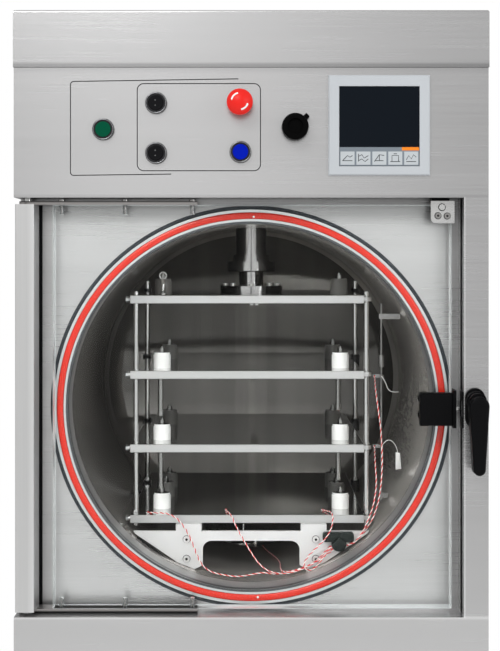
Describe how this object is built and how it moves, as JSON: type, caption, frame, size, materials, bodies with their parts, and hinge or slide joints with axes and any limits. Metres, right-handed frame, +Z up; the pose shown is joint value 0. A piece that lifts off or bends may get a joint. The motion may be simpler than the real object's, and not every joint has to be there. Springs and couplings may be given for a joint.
{
  "type": "freeze dryer",
  "caption": "Floor-standing laboratory freeze dryer: steel cabinet, round vacuum chamber behind a clear hinged door, collapsing shelf stack on a ram, control fascia.",
  "frame": {"origin": "on the floor, in the middle of the machine's width and of its overall depth with the door lever", "axes": "+X to the right seen from the front, +Y to the back, +Z up"},
  "size_m": [0.667, 0.805, 1.65],
  "materials": {
    "brushed_cover": "brushed along the width",
    "polished_steel": "fine ground and electropolished",
    "bright_steel": "polished",
    "frame_paint": "satin powder coat",
    "plate_aluminium": "machined, satin",
    "post_plastic": "turned white polymer",
    "cylinder_paint": "gloss enamel",
    "seal_rubber": "moulded silicone, satin",
    "black_rubber": "matt extruded edging",
    "foot_plastic": "matt",
    "clear_acrylic": "clear cast acrylic with polished edges",
    "black_metal": "black powder coat",
    "black_plastic": "moulded",
    "plug_plastic": "moulded, dark grey",
    "bezel_metal": "dark plated",
    "green_plastic": "moulded",
    "blue_plastic": "moulded",
    "red_plastic": "moulded, satin",
    "screen_frame": "moulded light grey",
    "screen_glass": "smooth touch foil",
    "box_paint": "textured powder coat",
    "lead_plastic": "twisted red and white insulated wires"
  },
  "bodies": {
    "cabinet": {"base_frame": "frame_paint", "levelling_feet": "foot_plastic", "side_panel_left": "brushed_cover", "side_panel_right": "brushed_cover", "front_fascia": "brushed_cover", "lower_front_panel": "brushed_cover", "hood": "brushed_cover", "rear_panel": "brushed_cover", "bay_panel": "brushed_cover", "flange_trim": "black_rubber", "chamber": "polished_steel", "door_seal": "seal_rubber", "shelf_4": "plate_aluminium", "shelf_4_posts": "post_plastic", "guide_rods": "bright_steel", "support_brackets": "polished_steel", "bracket_bolts": "bright_steel", "ram_gland": "bright_steel", "ram_cylinder": "cylinder_paint", "sensor_rod": "bright_steel", "thermocouple_plug": "plug_plastic", "hinge_pins": "bright_steel", "latch_receiver": "black_metal", "handle_escutcheon": "black_metal", "door_switch": "black_plastic", "button_bodies": "bezel_metal", "screen_bezel": "screen_frame", "touch_screen": "screen_glass", "ice_condenser": "polished_steel", "condensing_unit": "cylinder_paint", "hydraulic_unit": "frame_paint", "electrical_box": "box_paint", "thermocouple_lead_1": "lead_plastic", "thermocouple_lead_2": "lead_plastic", "thermocouple_lead_3": "lead_plastic", "thermocouple_lead_4": "lead_plastic", "thermocouple_lead_5": "lead_plastic", "thermocouple_lead_6": "lead_plastic"},
    "door": {"door_plate": "clear_acrylic", "hinge_straps": "polished_steel", "door_screws": "bright_steel", "hinge_stile": "brushed_cover", "corner_bracket": "polished_steel", "latch_block": "black_metal", "latch_pin": "bright_steel"},
    "lever": {"lever_handle": "black_metal"},
    "ram": {"ram_shaft": "bright_steel", "shelf_1": "plate_aluminium", "shelf_1_posts": "post_plastic"},
    "upper_shelf": {"shelf_2": "plate_aluminium", "shelf_2_posts": "post_plastic"},
    "lower_shelf": {"shelf_3": "plate_aluminium", "shelf_3_posts": "post_plastic"},
    "green_button": {"green_button": "green_plastic"},
    "blue_button": {"blue_button": "blue_plastic"},
    "black_button_upper": {"black_button_upper": "black_plastic"},
    "black_button_lower": {"black_button_lower": "black_plastic"},
    "emergency_stop": {"emergency_stop_head": "red_plastic"},
    "knob": {"knob": "black_plastic"},
    "fan": {"fan_rotor": "black_plastic"}
  },
  "joints": [
    {"name": "door_hinge", "type": "hinge", "parent": "cabinet", "child": "door", "pos_m": [-0.3175, -0.325, 1.09], "axis": [0, 0, -1], "range_deg": [0, 110]},
    {"name": "lever_turn", "type": "hinge", "parent": "cabinet", "child": "lever", "pos_m": [0.313, -0.3575, 1.104], "axis": [0, 1, 0], "range_deg": [0, 90]},
    {"name": "ram_slide", "type": "slide", "parent": "cabinet", "child": "ram", "axis": [0, 0, -1], "range_m": [0, 0.105]},
    {"name": "upper_shelf_slide", "type": "slide", "parent": "cabinet", "child": "upper_shelf", "axis": [0, 0, -1], "range_m": [0, 0.07]},
    {"name": "lower_shelf_slide", "type": "slide", "parent": "cabinet", "child": "lower_shelf", "axis": [0, 0, -1], "range_m": [0, 0.035]},
    {"name": "green_button_press", "type": "slide", "parent": "cabinet", "child": "green_button", "axis": [0, 1, 0], "range_m": [0, 0.003], "stiffness_N_per_m": 600, "springref_m": -0.002},
    {"name": "blue_button_press", "type": "slide", "parent": "cabinet", "child": "blue_button", "axis": [0, 1, 0], "range_m": [0, 0.003], "stiffness_N_per_m": 600, "springref_m": -0.002},
    {"name": "black_button_upper_press", "type": "slide", "parent": "cabinet", "child": "black_button_upper", "axis": [0, 1, 0], "range_m": [0, 0.003], "stiffness_N_per_m": 600, "springref_m": -0.002},
    {"name": "black_button_lower_press", "type": "slide", "parent": "cabinet", "child": "black_button_lower", "axis": [0, 1, 0], "range_m": [0, 0.003], "stiffness_N_per_m": 600, "springref_m": -0.002},
    {"name": "emergency_stop_press", "type": "slide", "parent": "cabinet", "child": "emergency_stop", "axis": [0, 1, 0], "range_m": [0, 0.004]},
    {"name": "knob_turn", "type": "hinge", "parent": "cabinet", "child": "knob", "pos_m": [0.0612, -0.3575, 1.4854], "axis": [0, 1, 0], "range_deg": [-200, 98]},
    {"name": "fan_spin", "type": "hinge", "parent": "cabinet", "child": "fan", "pos_m": [0, 0.2905, 0.262], "axis": [0, 1, 0], "continuous": true}
  ],
  "couplings": [
    {"joint": "upper_shelf_slide", "follows": "ram_slide", "ratio": 0.6666},
    {"joint": "lower_shelf_slide", "follows": "ram_slide", "ratio": 0.3333}
  ]
}
